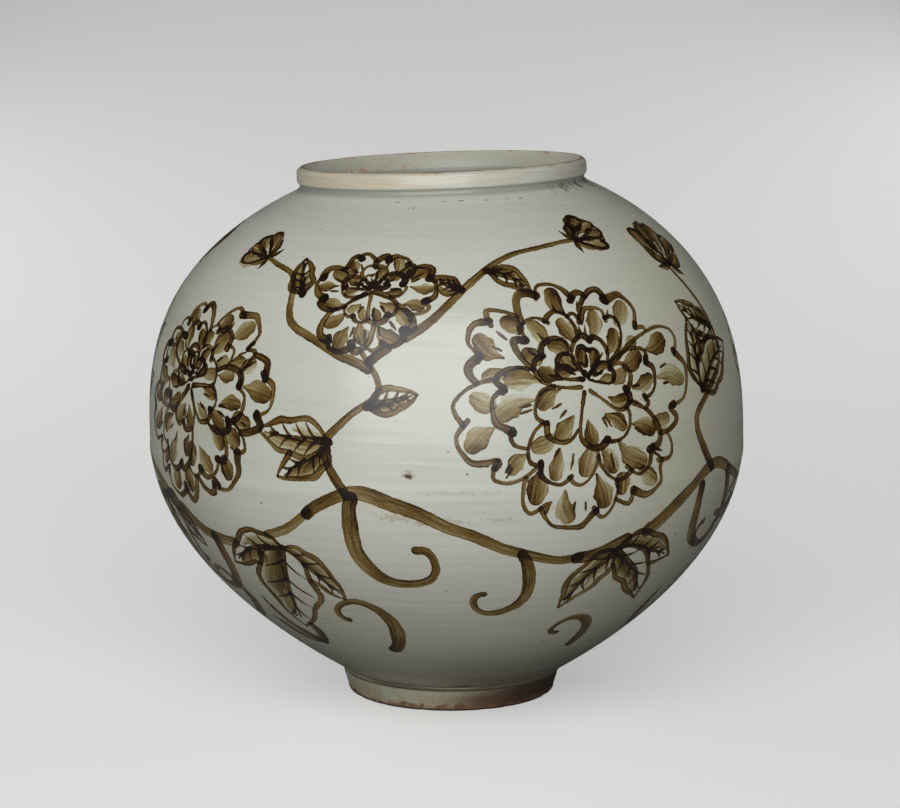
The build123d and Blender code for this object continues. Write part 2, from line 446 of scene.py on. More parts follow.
vine = ((-180, -30), (-166, -8), (-152, 2), (-136, -20), (-116, -42), (-98, -24), (-84, -6), (-70, -20),
        (-50, -44), (-34, -34), (-18, -6), (-3, -18), (20, -46), (40, -34), (58, -4), (76, -20),
        (98, -46), (118, -30), (134, -8), (150, -20), (172, -42), (180, -30))
stems = (
    ((-18, -6), (-22, 22), (-12, 50), (-17, 78)), ((58, -4), (53, 26), (67, 60), (62, 110)),
    ((-14, 66), (0, 96), (14, 128), (36, 138)), ((-14, 62), (-31, 86), (-35, 114), (-47, 128)),
    ((134, -8), (130, 24), (143, 58), (137, 82)), ((-84, -6), (-91, 28), (-81, 68), (-88, 114)),
    ((-152, 2), (-146, 32), (-157, 66), (-150, 104)), ((138, 70), (124, 98), (122, 124), (112, 134)),
    ((-87, 76), (-100, 112), (-112, 130), (-124, 136)))
fullRings = ((0.46, 5, 2, 0.72, 0.50, 0.06), (0.74, 6, 3, 0.62, 0.60, 0.03), (1.0, 7, 3, 0.58, 0.70, 0.0))
smallRings = ((0.56, 5, 2, 0.72, 0.5, 0.05), (1.0, 6, 3, 0.64, 0.56, 0.0))
# each: what paints it, then turn, v, angle and what the brush is told
flowers = (
    (blossom, (26, 46, -12, 74, fullRings), (-55, 40, 15, 64, fullRings), (-120, 54, -6, 66, fullRings),
     (174, 40, 10, 64, fullRings), (100, 42, -10, 68, fullRings), (-15, 106, 8, 36, smallRings),
     (137, 112, 0, 38, smallRings)),
    (bud, (63, 112, 70, 34), (-88, 116, 100, 32), (-150, 106, 85, 30), (36, 138, 20, 24), (-47, 128, 150, 24),
     (112, 134, 30, 22), (-124, 136, 150, 22)))
leaves = (
    (leafSpray, (-21, 22, 165, 48, 2), (-14, 42, 20, 30, 1), (-33, -42, -110, 66, 3), (-70, -26, -95, 56, 3),
     (34, -44, -62, 62, 3), (56, 40, 35, 54, 2), (66, 72, 140, 34, 2), (4, 108, 150, 22, 1),
     (10, 120, -30, 24, 1), (-31, 104, 100, 24, 1), (-90, 40, 50, 50, 3), (-84, 84, 150, 34, 2),
     (-104, -36, -80, 60, 3), (82, -34, -112, 60, 3), (118, -36, -70, 58, 3), (136, 38, 50, 50, 3),
     (131, 20, 160, 44, 2), (158, -34, -110, 58, 3), (-164, -12, -80, 60, 3), (-149, 44, 130, 50, 3),
     (-152, 74, 40, 40, 2), (-128, -36, -130, 48, 2)),)
tendrils = (
    (tendril, (-52, -44, -80, 60, -1, 4.0), (-17, -8, -105, 74, 1, 4.3), (14, -41, -60, 56, -1, 3.7),
     (55, -14, -100, 60, 1, 4.0), (-16, -126, 60, 60, 1, 4.1), (37, -128, 75, 44, 1, 3.6),
     (-62, -112, 30, 50, 1, 3.7), (-84, -6, -95, 66, 1, 3.8), (-122, -38, -70, 56, 1, 3.8),
     (66, -10, -60, 56, -1, 3.8), (104, -42, -90, 60, 1, 3.8), (134, -8, -95, 66, -1, 3.8),
     (176, -38, -90, 60, 1, 3.8), (-152, 2, -95, 60, 1, 3.6), (-142, -8, -60, 54, -1, 3.4),
     (-112, -122, 70, 50, -1, 3.6), (128, -122, 60, 50, 1, 3.6), (-176, -124, 60, 48, -1, 3.6)),
    (blade, (-40, -128, 116, 46, 0.12), (-40, -128, 142, 34, 0.16), (-40, -128, 84, 28, -0.14),
     (62, -124, 78, 52, -0.12), (62, -124, 104, 40, 0.12), (62, -124, 52, 32, -0.16),
     (-90, -124, 84, 50, 0.12), (-90, -124, 60, 36, -0.14), (-90, -124, 112, 34, 0.14),
     (94, -124, 100, 50, 0.12), (94, -124, 74, 38, -0.14), (94, -124, 126, 30, 0.14),
     (150, -124, 82, 52, -0.12), (150, -124, 110, 36, 0.14), (150, -124, 58, 32, -0.16),
     (-148, -124, 96, 50, 0.12), (-148, -124, 70, 36, -0.14), (-148, -124, 124, 30, 0.16)))
edgeBreaks = (-41, -16, 1, 7, 12, 16, 24, 29)


def paintAll(groups):
    for paint, *marks in groups:
        for turn, v, angle, *told in marks:
            paint((radians(turn), v, radians(angle)), *told)


def paintJar():
    # Flowers first, because what is painted later is hidden behind them
    paintAll(flowers)
    for points in stems:
        curve(points, [2.8, 2.2, 1.7, 1.4], paintLook["stem"], 0.8)
    paintAll(leaves)
    curve(vine, [3.6, 4.2, 3.2, 2.6], paintLook["vine"], 0.7, parts=7)
    paintAll(tendrils)
    for turn in edgeBreaks:
        # small level breaks along the edge of the glaze that gathered under the collar
        length = hand.uniform(0.4, 1.4)
        place = onJar([(-length, 0), (0, 0.1), (length, 0)], radians(turn), 178.7 + hand.uniform(-0.9, 0.9))
        brush(smoothPath(place, 0.01), [0.2, 0.3, 0.2], hand.uniform(0.12, 0.38), wobble=0.1, shortest=0)


# Paint on the mesh

def nearestOn(path, turn, v, radius):
    # For points at turn, v: distance u across the nearest place on a stroke, overshoot a past its ends,
    # distance d and arc length s, all in millimetres, and s as a share of the stroke's length
    dx = (path[:, 0] - turn[:, None]) * radius[:, None]
    dy = path[:, 1] - v[:, None]
    ax, ay = dx[:, :-1], dy[:, :-1]
    sx, sy = np.diff(dx), np.diff(dy)
    length = np.sqrt(sx ** 2 + sy ** 2) + 1e-9
    along = -(ax * sx + ay * sy) / length
    held = np.clip(along, 0, length)
    gap = np.hypot(ax + held * sx / length, ay + held * sy / length)
    u = (ax * sy - ay * sx) / length
    s = np.cumsum(length, 1) - length + held
    k = gap.argmin(1)
    row = np.arange(len(turn))
    u, d, s, along, past = (x[row, k] for x in (u, gap, s, along, along - length))
    before = np.where(k == 0, -along, -8.0)
    after = np.where(k == length.shape[1] - 1, past, -8.0)
    a = np.maximum(before, after)
    return np.where(a <= 0, np.sign(u) * d, u), np.maximum(a, -8), d, s, s / length.sum(1)


def paintFields(rowV, rowRadius, columns):
    # Shares the strokes out among layers in which no two come near each other, and stores for each
    # vertex of the grid its nearest stroke, as in noStroke
    gap, reach = paintLook["layerGap"], paintLook["reach"]
    step = 2 * pi / columns
    layers = []
    for stroke in strokes:
        path = stroke["place"]
        low, high = path.min(0), path.max(0)
        widest = stroke["halfWidth"].max() + reach
        rows = np.flatnonzero((rowV > low[1] - widest) & (rowV < high[1] + widest))
        if not len(rows):
            continue
        turned = widest / rowRadius[rows].min()
        cols = np.arange(np.floor((low[0] - turned) / step), np.ceil((high[0] + turned) / step) + 1)
        i, j = (x.ravel() for x in np.meshgrid(rows, cols.astype(int), indexing="ij"))
        u, a, d, s, share = nearestOn(path, j * step, rowV[i], rowRadius[i])
        knots = np.linspace(0, 1, len(path))
        halfWidth, ink = (np.interp(share, knots, stroke[k]) for k in ("halfWidth", "ink"))
        key = s + stroke["key"]
        edge = d - halfWidth
        data = np.stack([u, a, halfWidth, key, key ** 2, ink, 0 * u + stroke["side"], edge], -1)
        near = edge < reach
        i, j, edge, data = i[near], j[near] % columns, edge[near], data[near]
        for layer in layers:
            if not np.any((edge < gap) & (layer[i, j, 7] < gap)):
                break
        else:
            layer = np.tile(noStroke, (len(rowV), columns, 1))
            layers.append(layer)
        closer = edge < layer[i, j, 7]
        layer[i[closer], j[closer]] = data[closer]
    return layers


def storePaint(piece, firstVertex, rows):
    # Puts the layers on the rows of a bowl's outside; the rest of the mesh lies far from any stroke
    for k, layer in enumerate(layers):
        values = np.tile(noStroke.astype(np.float32), (len(piece.data.vertices), 1))
        data = layer[rows].reshape(-1, 8)
        values[firstVertex:firstVertex + len(data)] = data
        for name, part in (("brushPlace", values[:, :4]), ("brushFlow", values[:, 4:])):
            attribute = piece.data.attributes.new(f"{name}{k}", "FLOAT_COLOR", "POINT")
            attribute.data.foreach_set("color", part.ravel())


# Camera, found from the jar's outline in the photograph

cameraPlace = dict(x=1.83, y=-1611.1, z=431.7, down=9.221, lens=110.65)
bpy.ops.object.camera_add(
    location=[cameraPlace[axis] * mm for axis in "xyz"], rotation=(radians(90 - cameraPlace["down"]), 0, 0))
camera = bpy.context.object
camera.data.lens = cameraPlace["lens"]
camera.data.sensor_width = 36
camera.data.clip_end = 100
bpy.context.scene.camera = camera


# Materials

glazeLook = dict(
    pale="#c6c7bc", cool="#c2c6bb", olive="#bab8a0", warm="#c0b9a2", drag="#8f8878", low="#8b8872",
    shadeGrey="#7d7b6a", jointShade="#5b5441", speck="#4f4233", crawl="#2b2524", crawlWidth=2.4, roughness=0.23,
    mottle=55.0, wheelSpacing=2.8, peel=1.6, pitSpacing=6.5, speckSpacing=17.0,
)
# Iron pigment by how thick it lies: from a thin khaki wash through golden brown to nearly black pools
pigment = ((0.0, "#b3af95"), (0.10, "#a29b76"), (0.20, "#86764e"), (0.34, "#665026"), (0.52, "#463212"),
           (0.72, "#2a1b0a"), (1.0, "#190f0b"))
pigmentFull = 1.5


def startMaterial(name):
    material = bpy.data.materials.new(name)
    tree = emptyTree(material)
    place = addNode(tree, "TexCoord").outputs["Object"]
    inMm = addNode(tree, "VectorMath", {0: place, "Scale": 1 / mm}, operation="SCALE")
    return material, tree, inMm


def endMaterial(material, colour, roughness, height):
    # height is in millimetres; glaze and fired clay refract alike
    tree = material.node_tree
    bump = addNode(tree, "Bump", {"Height": height, "Distance": mm, "Strength": 1.0})
    shader = addNode(tree, "BsdfPrincipled", {
        "Base Color": colour, "Roughness": roughness, "Normal": bump, "IOR": 1.5})
    addNode(tree, "OutputMaterial", {0: shader})
    return material


def mask(tree, *parts):
    # How much of something shows, as the product of its parts. A part is a pattern, a number or three
    # values: a pattern, where the part is nothing and where it is full, with a soft step between.
    product = None
    for part in parts:
        if isinstance(part, tuple):
            value, none, full = part
            part = addNode(tree, "MapRange", {"Value": value, "From Min": none, "From Max": full},
                           interpolation_type="SMOOTHSTEP")
        if product is not None:
            part = addNode(tree, "Math", {0: product, 1: part}, operation="MULTIPLY")
        product = part
    return product


def patches(tree, place, sizes, low, high, detail=3.0):
    # Soft-edged patches, as long in x, y and z as sizes: none where the noise is under low, full over high
    stretched = addNode(tree, "VectorMath", {0: place, 1: [1 / size for size in sizes]}, operation="MULTIPLY")
    noise = addNode(tree, "TexNoise", {"Vector": stretched, "Scale": 1.0, "Detail": detail, "Roughness": 0.6})
    return mask(tree, (noise, low, high))


def stained(tree, colour, *stains):
    # Lays each stain over the last. A stain is its colour and the parts of its mask.
    for stain, *parts in stains:
        stain = linearColour(stain) if isinstance(stain, str) else stain
        mixed = addNode(tree, "Mix", {0: mask(tree, *parts), 6: colour, 7: stain}, data_type="RGBA")
        colour = mixed.outputs[2]
    return colour


def summed(tree, start, *shares):
    # Start plus each pattern times its amount
    for pattern, amount in shares:
        start = addNode(tree, "Math", {0: pattern, 1: amount, 2: start}, operation="MULTIPLY_ADD")
    return start


def markAt(tree, inMm, place, sizes, ragged, amount):
    # One named spot: an ellipse round a place, its edge broken by noise
    apart = addNode(tree, "VectorMath", {0: inMm, 1: place}, operation="SUBTRACT")
    scaled = addNode(tree, "VectorMath", {0: apart, 1: [1 / size for size in sizes]}, operation="MULTIPLY")
    far = addNode(tree, "VectorMath", {0: scaled}, operation="LENGTH").outputs["Value"]
    noise = addNode(tree, "TexNoise", {"Vector": inMm, "Scale": 1 / 2.2, "Detail": 4.0, "Roughness": 0.7})
    broken = summed(tree, far, (noise, 4 * ragged))
    return mask(tree, (broken, 1 + 2 * ragged, 0.3 + 2 * ragged), amount)


def bareGlaze(tree, inMm):
    # Colour, roughness and bump of the glaze: cooler round the middle, yellower on the flanks and towards
    # the foot, which is partly painted sheen on the lit front and painted shade on the sides and below,
    # darker towards the bottom and on the lower right as painted shade, with slow mottling, wheel marks as
    # level streaks, faint orange peel, open pits and iron specks
    look = glazeLook
    x, _, z = addNode(tree, "SeparateXYZ", {0: inMm}).outputs
    slow = patches(tree, inMm, [look["mottle"]] * 3, 0.36, 0.64)
    streaky = patches(tree, inMm, (88, 88, 8), 0.48, 0.76)
    dragged = patches(tree, inMm, (60, 60, 5), 0.62, 0.8, 6.0)
    scratched = patches(tree, inMm, (24, 24, 1.1), 0.56, 0.76, 5.0)
    colour = stained(
        tree, linearColour(look["pale"]),
        # painted sheen, partly: the cooler tint round the middle stands for the light's cool reflection on
        # the front
        (look["cool"], slow, (z, 85, 175), (z, 290, 225)),
        # painted shade, partly: yellower towards the foot
        (look["olive"], (z, 130, 25), 0.75),
        # painted shade: darker towards the bottom
        (look["low"], (z, 64, 20), 0.4),
        # painted shade: darker still low on the right, away from the key light
        (look["shadeGrey"], (z, 60, 18), (x, -45, 30), 0.75),
        # painted shade, partly: yellower on both flanks, which turn away from the light
        (look["olive"], (x, 45, 140), 0.6),
        (look["olive"], (x, -95, -168), 0.55),
        (look["warm"], streaky, 0.3),
        (look["drag"], dragged, 0.25),
        (look["drag"], scratched, 0.2))
    level = addNode(tree, "VectorMath", {0: inMm, 1: (0.016, 0.016, 1 / look["wheelSpacing"])},
                    operation="MULTIPLY")
    wheel = addNode(tree, "TexNoise", {"Vector": level, "Scale": 1.0, "Detail": 5.0, "Roughness": 0.62})
    streak = addNode(tree, "MapRange", {
        "Value": wheel, "From Min": 0.3, "From Max": 0.75, "To Min": 1.02, "To Max": 0.965})
    colour = addNode(tree, "VectorMath", {0: colour, "Scale": streak}, operation="SCALE")
    dots = []
    for spacing, size, flatness in ((look["pitSpacing"], 0.7, 2.2), (look["speckSpacing"], 0.85, 1.0)):
        flattened = addNode(tree, "VectorMath", {0: inMm, 1: [k / spacing for k in (1, 1, flatness)]},
                            operation="MULTIPLY")
        cells = addNode(tree, "TexVoronoi", {"Vector": flattened, "Scale": 1.0})
        picked = addNode(tree, "Math", {0: cells.outputs["Color"], 1: 0.55}, operation="GREATER_THAN")
        dots.append(mask(tree, picked, (cells.outputs["Distance"], size / spacing, 0.4 * size / spacing)))
    colour = stained(tree, colour, (look["speck"], dots[0], 0.4), (look["speck"], dots[1]))
    matt = patches(tree, inMm, (88, 88, 8), 0.3, 0.7)
    roughness = summed(tree, look["roughness"] - 0.05, (matt, 0.12))
    peel = addNode(tree, "TexNoise", {"Vector": inMm, "Scale": 1 / look["peel"], "Detail": 2.0})
    height = summed(tree, 0.0, (wheel, 0.1), (peel, 0.03), (dots[0], -0.12))
    return colour, roughness, height


def brushGroup():
    # One layer of brush strokes as density of pigment. u is the distance across the stroke, a past its
    # ends; the stroke covers what lies within its half width. Its edges lie a little thicker, bristles
    # streak it along its length, and it is dropped where the corners of a face belong to two strokes,
    # which is where the mean of the squared keys isn't the squared mean, or the edges lie too far off.
    group = bpy.data.node_groups.new("brushStroke", "ShaderNodeTree")
    for name, kind in (("Place", "Vector"), ("Flow", "Vector"), ("Key", "Float"), ("Waver", "Float"),
                       ("Edge", "Float")):
        group.interface.new_socket(name=name, in_out="INPUT", socket_type="NodeSocket" + kind)
    group.interface.new_socket(name="Density", in_out="OUTPUT", socket_type="NodeSocketFloat")
    place, flow, key, waver, edge = group.nodes.new("NodeGroupInput").outputs[:5]
    u, a, halfWidth = addNode(group, "SeparateXYZ", {0: place}).outputs
    keySquared, ink, side = addNode(group, "SeparateXYZ", {0: flow}).outputs
    mixed = summed(group, keySquared, (mask(group, key, key), -1.0))
    single = addNode(group, "Math", {0: mixed, 1: 9.0}, operation="LESS_THAN")
    past = addNode(group, "Math", {0: a, 1: 0.0}, operation="MAXIMUM")
    across = addNode(group, "CombineXYZ", {0: u, 1: past})
    reach = addNode(group, "VectorMath", {0: across}, operation="LENGTH").outputs["Value"]
    width = summed(group, halfWidth, (waver, 1.0))
    within = summed(group, width, (reach, -1.0))
    bristlePlace = addNode(group, "CombineXYZ", {0: mask(group, key, 0.045), 1: mask(group, u, 0.75)})
    bristles = addNode(group, "TexNoise", {
        "Vector": bristlePlace, "Scale": 1.0, "Detail": 3.0, "Roughness": 0.6}, noise_dimensions="2D")
    streak = addNode(group, "MapRange", {
        "Value": bristles, "From Min": 0.25, "From Max": 0.75, "To Min": 0.5, "To Max": 1.38})
    total = summed(group, streak, (mask(group, (within, 1.05, 0.35)), 0.34))
    slope = addNode(group, "Math", {0: u, 1: width}, operation="DIVIDE")
    lean = addNode(group, "Math", {0: summed(group, 1.0, (slope, side)), 1: 0.05}, operation="MAXIMUM")
    density = mask(group, total, ink, lean, (within, -0.28, 0.26), single, (edge, 1.7, 1.3))
    group.links.new(density.outputs[0], group.nodes.new("NodeGroupOutput").inputs[0])
    return group


# Marks of the firing on the front, each as place, reach, ragged edge, amount and colour
firingMarks = (
    ((-20.0, -173.8, 160.3), (4.2, 5.0, 3.2), 0.6, 0.5, "#8a6f42"),         # iron spot, halo and core
    ((-20.8, -173.8, 159.4), (2.9, 4.0, 1.9), 0.55, 0.95, "#3f2a17"),
    ((-26.0, -172.0, 136.6), (15.0, 9.0, 2.6), 1.1, 0.5, "#9c9170"),        # smudges dragged sideways
    ((-13.0, -173.0, 134.0), (6.0, 9.0, 2.2), 0.9, 0.55, "#8c7b50"),
    ((3.0, -173.5, 134.6), (13.0, 9.0, 2.2), 1.1, 0.45, "#9c9170"),
    ((30.0, -171.5, 135.4), (12.0, 9.0, 2.0), 1.1, 0.45, "#a3967c"),
    ((6.0, -175.0, 150.4), (34.0, 9.0, 1.3), 1.1, 0.3, "#8f8a7c"),
    ((68.2, -142.8, 98.2), (4.2, 6.0, 3.6), 0.3, 0.85, "#c2aca0"),          # bare spots with a pink blush
    ((59.5, -163.7, 140.5), (4.8, 6.0, 2.2), 0.5, 0.6, "#c0ab9c"),
    ((69.5, -142.0, 96.8), (1.3, 4.0, 1.0), 0.3, 1.0, "#3a3438"),
    ((8.7, -66.0, 16.5), (8.5, 12.0, 2.0), 0.6, 0.85, "#553b28"),           # burnt stain over the foot
    ((-34.0, -72.0, 22.0), (4.0, 9.0, 1.2), 0.5, 0.6, "#6a5038"),
)


def fromRim(tree, inMm):
    # Height above the shoulder's edge, square to the tipped rim, then the level direction from the rim's
    # middle and the distance from it
    middle = (form["mouthOffset"], 0, form["shoulderHeight"])
    centred = addNode(tree, "VectorMath", {0: inMm, 1: middle}, operation="SUBTRACT")
    square = (-sin(mouthTilt), 0, cos(mouthTilt))
    up = addNode(tree, "VectorMath", {0: centred, 1: square}, operation="DOT_PRODUCT")
    level = addNode(tree, "VectorMath", {0: centred, 1: (1, 1, 0)}, operation="MULTIPLY")
    bearing = addNode(tree, "VectorMath", {0: level}, operation="NORMALIZE")
    out = addNode(tree, "VectorMath", {0: level}, operation="LENGTH")
    return up.outputs["Value"], bearing, out.outputs["Value"]


def collarBreaks(tree, inMm):
    # Dark breaks where the glaze drew back under the right of the collar. Noise that changes only round
    # the jar gives each its width, and a slower one how far down it reaches.
    up, bearing, out = fromRim(tree, inMm)
    x, y, _ = addNode(tree, "SeparateXYZ", {0: bearing}).outputs
    longer = addNode(tree, "TexNoise", {"Vector": bearing, "Scale": 26.0, "Detail": 2.0})
    deep = summed(tree, up, (longer, 6.5))
    across = patches(tree, bearing, [glazeLook["crawlWidth"] / form["shoulderRadius"]] * 3, 0.5, 0.57, 2.0)
    broken = patches(tree, inMm, (2.6, 2.6, 1.4), 0.38, 0.5)
    return mask(tree, across, broken, (deep, 0.9, 1.7), (up, 3.2, 2.0), (x, 0.62, 0.86), (y, 0.05, -0.1),
                (out, 82.0, 82.8))


def makePaintedGlaze(layerCount):
    # Iron pigment brushed on the raw glaze and fired into it: khaki where thin, dark brown to nearly
    # black where it pooled, with fine specks, under the same wet gloss
    material, tree, inMm = startMaterial("ironPaintedGlaze")
    colour, roughness, height = bareGlaze(tree, inMm)
    z = addNode(tree, "SeparateXYZ", {0: inMm}).outputs[2]
    colour = stained(
        tree, colour,
        # painted shade over the lowest strip of glaze above the foot, which would catch too much light, and a
        # dark line at the joint itself that is partly painted shade
        (glazeLook["shadeGrey"], (z, 17.2, 15.2), 0.4),
        (glazeLook["jointShade"], (z, 15.4, 14.7), 0.85),
        (glazeLook["crawl"], collarBreaks(tree, inMm)),
        *((code, markAt(tree, inMm, *mark)) for *mark, code in firingMarks))
    # the edges of strokes waver by both noises, whose middle is a half
    noises = ((5.5, 0.9), (1.5, 0.65))
    waver = -sum(amount for size, amount in noises) / 2
    for size, amount in noises:
        noise = addNode(tree, "TexNoise", {"Vector": inMm, "Scale": 1 / size, "Detail": 2.0})
        waver = summed(tree, waver, (noise, amount))
    group = brushGroup()
    total = 0.0
    for k in range(layerCount):
        place, flow = (addNode(tree, "Attribute", attribute_name=f"{name}{k}").outputs
                       for name in ("brushPlace", "brushFlow"))
        layer = addNode(tree, "Group", {
            "Place": place["Color"], "Flow": flow["Color"], "Key": place["Alpha"], "Edge": flow["Alpha"],
            "Waver": waver}, node_tree=group)
        total = summed(tree, total, (layer, 1.0))
    grain = addNode(tree, "TexNoise", {"Vector": inMm, "Scale": 1 / 0.8, "Detail": 3.0, "Roughness": 0.7})
    speckled = addNode(tree, "MapRange", {
        "Value": grain, "From Min": 0.35, "From Max": 0.72, "To Min": 0.84, "To Max": 1.4})
    total = mask(tree, total, speckled)
    ramp = addNode(tree, "ValToRGB", {0: mask(tree, total, 1 / pigmentFull)})
    while len(ramp.color_ramp.elements) < len(pigment):
        ramp.color_ramp.elements.new(0.5)
    for element, (position, code) in zip(ramp.color_ramp.elements, pigment):
        element.position = position
        element.color = linearColour(code)
    colour = stained(tree, colour, (ramp, (total, 0.0, 0.22)))
    return endMaterial(material, colour, roughness, height)


lipLook = dict(inside="#b0b1a0", cream="#c9bfa9", clay="#b4946f", burnt="#96683f", scorch="#b07b53",
               pool="#a8aa9e", shadedPool="#8d9085", line="#4a382a")


def makeLipGlaze():
    # The same glaze, thin and worn warm on the lip, where the clay shows brown in patches, scorched
    # orange inside on the left, and gathered grey-green in the corner under the band, which is darkened
    # there with painted shade from the band; a painted shadow darkens the inside of the front lip
    look = lipLook
    material, tree, inMm = startMaterial("wornLipGlaze")
    colour, roughness, height = bareGlaze(tree, inMm)
    up, bearing, out = fromRim(tree, inMm)
    x, y, _ = addNode(tree, "SeparateXYZ", {0: inMm}).outputs
    inner = mask(tree, (out, 81.2, 80.0))
    band = mask(tree, (out, 82.2, 83.2), (up, 3.6, 5.5))
    edge = mask(tree, (out, 84.2, 82.6), (up, 11.9, 13.1))
    frontLipShadow = mask(tree, (out, 79.8, 80.7), (out, 81.9, 81.0), (y, 30, -30))
    worn = patches(tree, inMm, (16, 16, 9), 0.52, 0.68, 4.0)
    fine = patches(tree, inMm, (4.5, 4.5, 2.2), 0.5, 0.68, 4.0)
    streaks = patches(tree, inMm, (30, 30, 1.1), 0.42, 0.66, 4.0)
    scorched = patches(tree, inMm, (3.5, 3.5, 7), 0.5, 0.6, 4.0)
    colour = stained(
        tree, colour,
        (look["inside"], inner, 0.85),
        (look["cream"], inner, fine, 0.4),
        (look["burnt"], inner, worn, fine, 0.4),
        (look["scorch"], inner, scorched, (up, 8.0, 4.5), (x, -12, -30)),
        (look["cream"], band, (x, 30, -60), 0.75),
        (look["clay"], band, streaks, 0.3),
        # glaze pooled in the corner under the band, darkened with painted shade where the band overhangs it
        (look["pool"], (out, 86.6, 84.8), (up, 5.0, 3.6), 0.8),
        (look["shadedPool"], (out, 84.8, 83.4), (up, 4.4, 3.2), 0.8),
        (glazeLook["crawl"], collarBreaks(tree, inMm)),
        (look["cream"], edge, 0.65),
        (look["clay"], edge, fine),
        (look["burnt"], edge, worn, 0.85),
        # painted shadow: a dark line along the inside of the front lip, with a broken second pass
        (look["line"], frontLipShadow, 0.5),
        (look["line"], frontLipShadow, fine, 0.6))
    roughness = summed(tree, roughness, (mask(tree, edge, worn), 0.22), (inner, 0.22))
    return endMaterial(material, colour, roughness, height)


footLook = dict(buff="#a89d83", glassy="#a9ac9b", grit="#64543d", burnt="#6f4d34", dark="#2f1e14",
                shade="#5f4b39")


def makeFootClay():
    # Trimmed porcelain, wiped nearly bare: buff and gritty, with runs of glaze over the top on the left,
    # burnt brown where it stood on the kiln floor, with painted shade on the right and on the rounded top
    # edge, and a painted contact shadow along the floor
    look = footLook
    material, tree, inMm = startMaterial("bareFootClay")
    x, _, z = addNode(tree, "SeparateXYZ", {0: inMm}).outputs
    grit = patches(tree, inMm, (1.5, 1.5, 1.2), 0.5, 0.7, 4.0)
    sooty = patches(tree, inMm, (14, 14, 6), 0.42, 0.62, 4.0)
    ragged = patches(tree, inMm, (9, 9, 6), 0.42, 0.72, 6.0)
    lowered = summed(tree, z, (ragged, -4.0))
    runs = mask(tree, patches(tree, inMm, (8, 8, 60), 0.43, 0.57, 2.0), (x, 0, -34), (z, 3.0, 6.5))
    right = mask(tree, (x, -12, 22))
    colour = stained(
        tree, linearColour(look["buff"]),
        (look["grit"], grit, 0.45),
        # painted shade: the foot darker to the right, away from the light, darkest at its right end and in
        # its grit there
        (look["shade"], right, 0.95),
        (look["dark"], (x, 17, 46), 0.7),
        (look["dark"], right, grit, 0.5),
        (look["burnt"], (lowered, 3.0, 0.6), 0.85),
        (look["dark"], (lowered, 1.6, 0.0), sooty, 0.6),
        (look["glassy"], runs, 0.9),
        (look["glassy"], (z, 8.0, 11.4), (x, 40, 0), 0.45),
        # painted shade on the rounded top edge of the foot, so that it shows no bright line
        (look["grit"], (z, 11.6, 12.6), 0.6),
        # painted contact shadow: a dark band along the bottom edge where the foot meets the floor
        (look["dark"], (z, 1.7, 0.7), 0.92))
    roughness = summed(tree, 0.58, (runs, -0.3))
    rough = addNode(tree, "TexNoise", {"Vector": inMm, "Scale": 1 / 1.1, "Detail": 4.0})
    height = summed(tree, 0.0, (rough, 0.22), (grit, -0.12))
    return endMaterial(material, colour, roughness, height)


slipLook = dict(buff="#aaa795", drag="#918b78", spot="#6f6550", roughness=0.5, grain=1.4)


def makeSlipClay():
    # Wiped porcelain slip under a thin glaze: even and matt, grey-buff, with the drag of a wet finger
    material, tree, inMm = startMaterial("lutingSlip")
    dragged = patches(tree, inMm, (40, 40, 1.2), 0.4, 0.66, 4.0)
    spots = patches(tree, inMm, (3, 3, 3), 0.55, 0.75, 4.0)
    colour = stained(tree, linearColour(slipLook["buff"]), (slipLook["drag"], dragged, 0.6),
                     (slipLook["spot"], spots, 0.5))
    grain = addNode(tree, "TexNoise", {"Vector": inMm, "Scale": 1 / slipLook["grain"], "Detail": 4.0})
    height = summed(tree, 0.0, (grain, 0.06), (dragged, 0.24))
    return endMaterial(material, colour, slipLook["roughness"], height)


# Body

bodyMesh = dict(
    columns=640, outerRows=118, innerRows=24, inset=0.08, ridgeDepth=0.07, ridgeSpacing=6.4, ridgeClimb=1.0,
    swell=0.35, seamSwell=0.35, seamWidth=5.0,
    # rows under the glaze's lower edge, as radius and drop below the base
    skirt=((20.0, -0.05), (50.0, -0.05), (63.7, -0.05), (63.75, 1.3), (64.2, 1.25), (64.5, 0.8)),
)
arcSeam = np.interp(form["seamHeight"], arcLevel, arcLength)
lowerV = np.linspace(arcLength[0], arcSeam, bodyMesh["outerRows"])
upperV = np.linspace(arcSeam, arcLength[-1], bodyMesh["outerRows"])
bodyTurn = turns(bodyMesh["columns"])


def underSkin(v, depth):
    # Points round the jar, at an arc length from the belly and a depth under the outline, square to it
    level, radius, out, up = (np.interp(v, arcLength, x) for x in (arcLevel, arcRadius, arcOut, arcUp))
    return placeOnSection(bodyTurn, radius - depth * out, level, -depth * up)


def outerPoints(v):
    # Outside of the body: ridges that the fingers left climb slowly round the jar, the wall swells and
    # sinks a little, and less is taken off along the luted seam. The depth is never below zero.
    look = bodyMesh
    v = v[:, None]
    climb = v + look["ridgeClimb"] * bodyTurn / (2 * pi) * look["ridgeSpacing"]
    ridges = 0.5 + 0.5 * np.sin(2 * pi * climb / look["ridgeSpacing"] + 1.2 * np.sin(v / 17))
    swell = 0.5 + 0.5 * wave(bodyTurn + v / 240, (2, 3, 5), 4) * np.cos(v / 60)
    seam = np.exp(-((v - arcSeam) / look["seamWidth"]) ** 2)
    depth = look["ridgeDepth"] * ridges + look["swell"] * swell + look["seamSwell"] * (1 - seam)
    return underSkin(v, look["inset"] + depth * np.clip(1 - np.abs(v) / 400, 0, 1))


